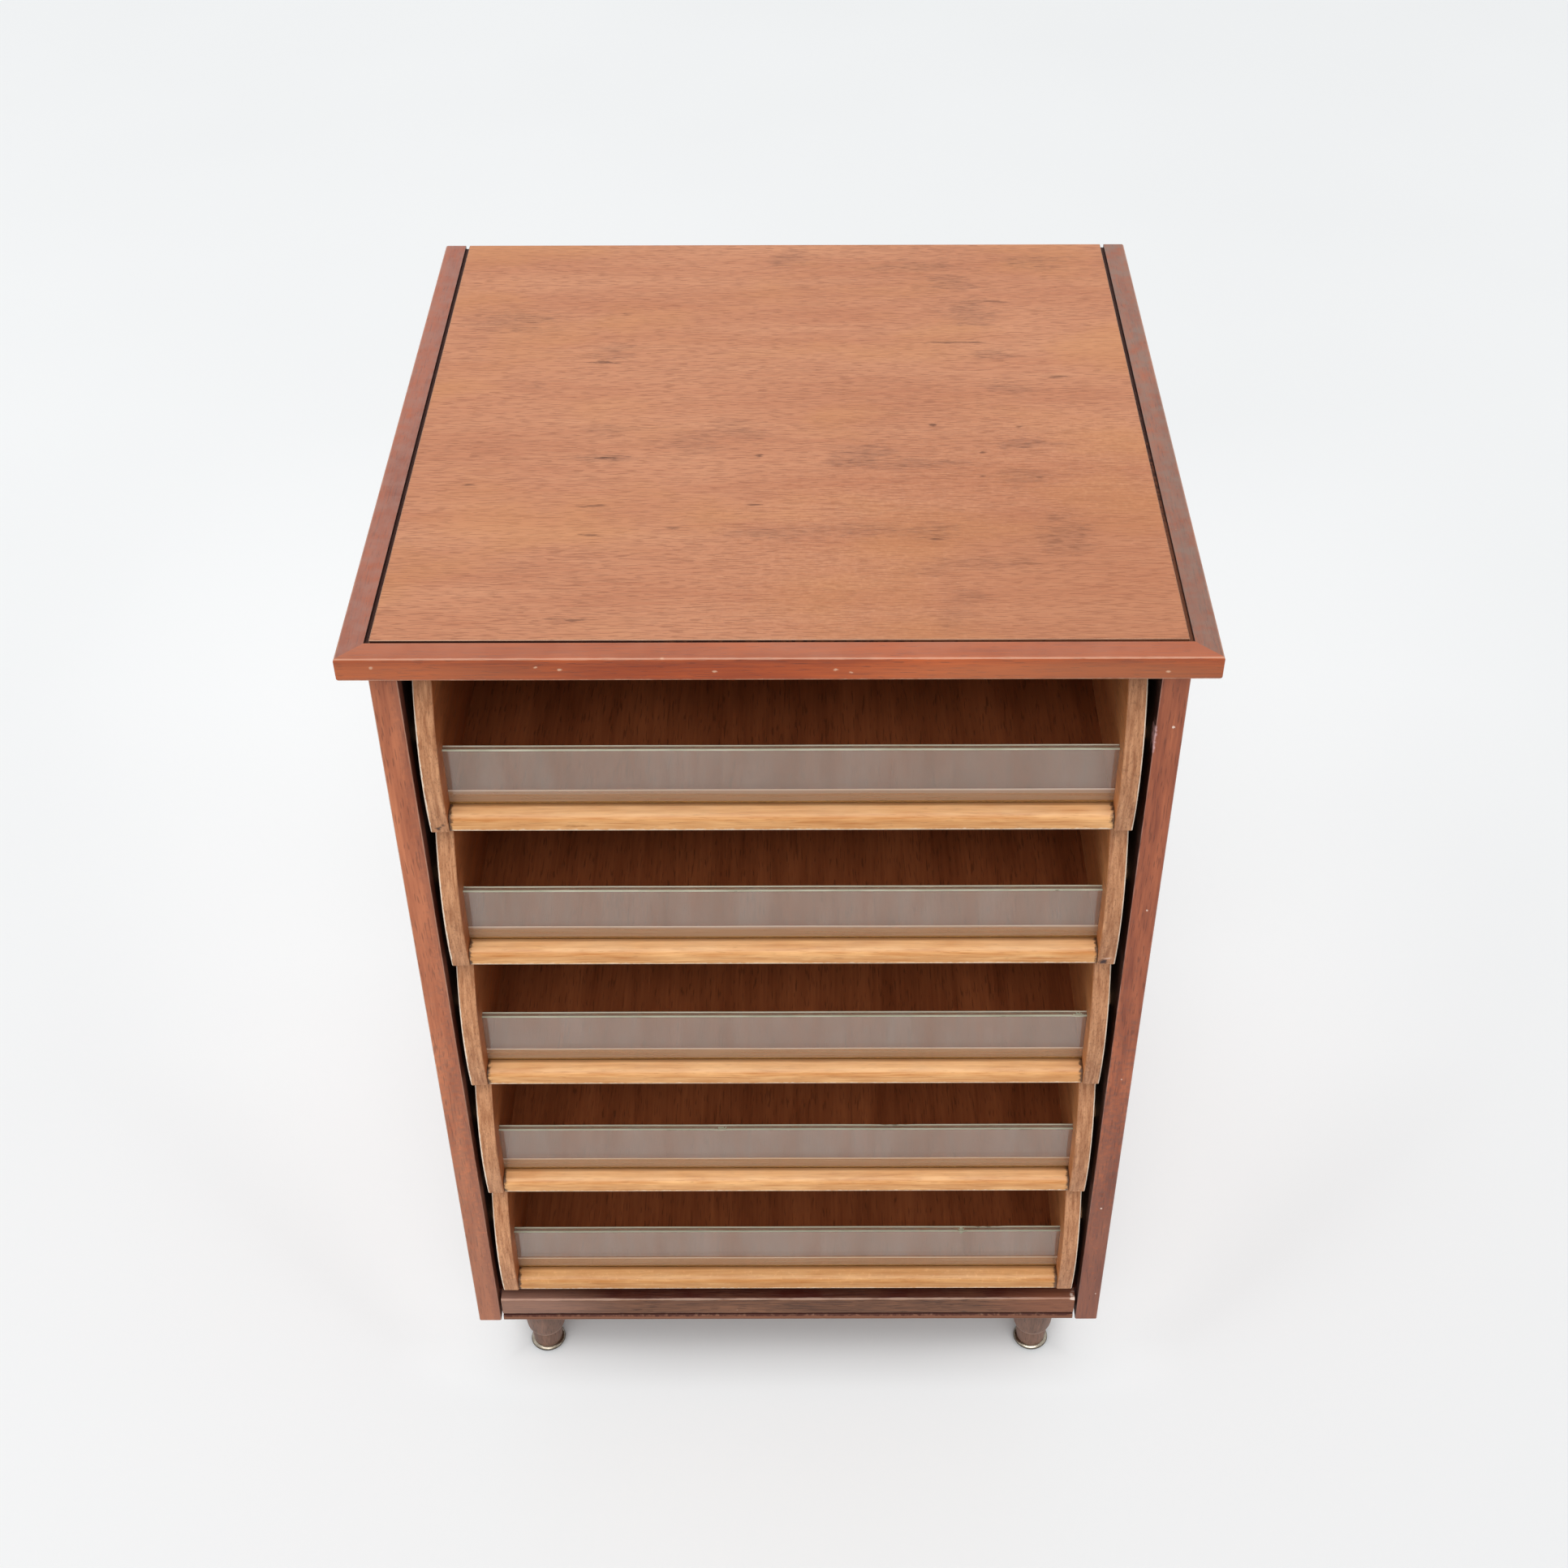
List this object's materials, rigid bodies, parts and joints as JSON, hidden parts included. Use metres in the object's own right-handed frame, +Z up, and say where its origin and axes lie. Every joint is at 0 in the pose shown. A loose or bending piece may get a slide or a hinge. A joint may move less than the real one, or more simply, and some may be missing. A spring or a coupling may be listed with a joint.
{
  "type": "glass-fronted drawer cabinet",
  "caption": "Square wooden cabinet on short turned legs, holding a stack of sliding tray drawers with low glass fronts and bowed sides.",
  "frame": {"origin": "on the floor under the middle of the top", "axes": "+Z up, -Y towards the front where the drawers come out, +X to the right seen from the front"},
  "size_m": [0.6, 0.6, 0.9],
  "materials": {
    "top_veneer": "worn satin lacquer",
    "mahogany": "satin lacquer",
    "case_veneer": "satin lacquer",
    "plywood": "stained",
    "beech": "bare",
    "drawer_wood": "worn satin lacquer",
    "rail_wood": "satin lacquer",
    "drawer_floor": "stained veneer",
    "pane_glass": "clear, slightly hazy",
    "screw_steel": "dull",
    "glide_metal": "bright",
    "leg_wood": "satin lacquer"
  },
  "bodies": {
    "case": {"top_panel": "top_veneer", "top_edging_front": "mahogany", "top_edging_left": "mahogany", "top_edging_right": "mahogany", "side_panel_left": "case_veneer", "side_panel_right": "case_veneer", "side_lipping_left": "mahogany", "side_lipping_right": "mahogany", "bottom_board": "case_veneer", "bottom_lipping": "mahogany", "base_plate": "plywood", "back_panel": "plywood", "top_stretcher_front": "beech", "top_stretcher_back": "beech", "runners_left": "beech", "runners_right": "beech", "case_dowels": "beech", "runner_screws": "screw_steel", "back_screws": "screw_steel", "top_screws": "screw_steel", "base_screws": "screw_steel", "leg_bolts": "screw_steel", "leg_front_left": "leg_wood", "glide_front_left": "glide_metal", "leg_front_right": "leg_wood", "glide_front_right": "glide_metal", "leg_back_left": "leg_wood", "glide_back_left": "glide_metal", "leg_back_right": "leg_wood", "glide_back_right": "glide_metal"},
    "drawer_1": {"drawer_1_side_left": "drawer_wood", "drawer_1_side_right": "drawer_wood", "drawer_1_front_rail": "rail_wood", "drawer_1_glass": "pane_glass", "drawer_1_bottom": "drawer_floor", "drawer_1_back": "drawer_wood"},
    "drawer_2": {"drawer_2_side_left": "drawer_wood", "drawer_2_side_right": "drawer_wood", "drawer_2_front_rail": "rail_wood", "drawer_2_glass": "pane_glass", "drawer_2_bottom": "drawer_floor", "drawer_2_back": "drawer_wood"},
    "drawer_3": {"drawer_3_side_left": "drawer_wood", "drawer_3_side_right": "drawer_wood", "drawer_3_front_rail": "rail_wood", "drawer_3_glass": "pane_glass", "drawer_3_bottom": "drawer_floor", "drawer_3_back": "drawer_wood"},
    "drawer_4": {"drawer_4_side_left": "drawer_wood", "drawer_4_side_right": "drawer_wood", "drawer_4_front_rail": "rail_wood", "drawer_4_glass": "pane_glass", "drawer_4_bottom": "drawer_floor", "drawer_4_back": "drawer_wood"},
    "drawer_5": {"drawer_5_side_left": "drawer_wood", "drawer_5_side_right": "drawer_wood", "drawer_5_front_rail": "rail_wood", "drawer_5_glass": "pane_glass", "drawer_5_bottom": "drawer_floor", "drawer_5_back": "drawer_wood"}
  },
  "joints": [
    {"name": "drawer_1_slide", "type": "slide", "parent": "case", "child": "drawer_1", "axis": [0, -1, 0], "range_m": [0, 0.4]},
    {"name": "drawer_2_slide", "type": "slide", "parent": "case", "child": "drawer_2", "axis": [0, -1, 0], "range_m": [0, 0.4]},
    {"name": "drawer_3_slide", "type": "slide", "parent": "case", "child": "drawer_3", "axis": [0, -1, 0], "range_m": [0, 0.4]},
    {"name": "drawer_4_slide", "type": "slide", "parent": "case", "child": "drawer_4", "axis": [0, -1, 0], "range_m": [0, 0.4]},
    {"name": "drawer_5_slide", "type": "slide", "parent": "case", "child": "drawer_5", "axis": [0, -1, 0], "range_m": [0, 0.4]}
  ]
}
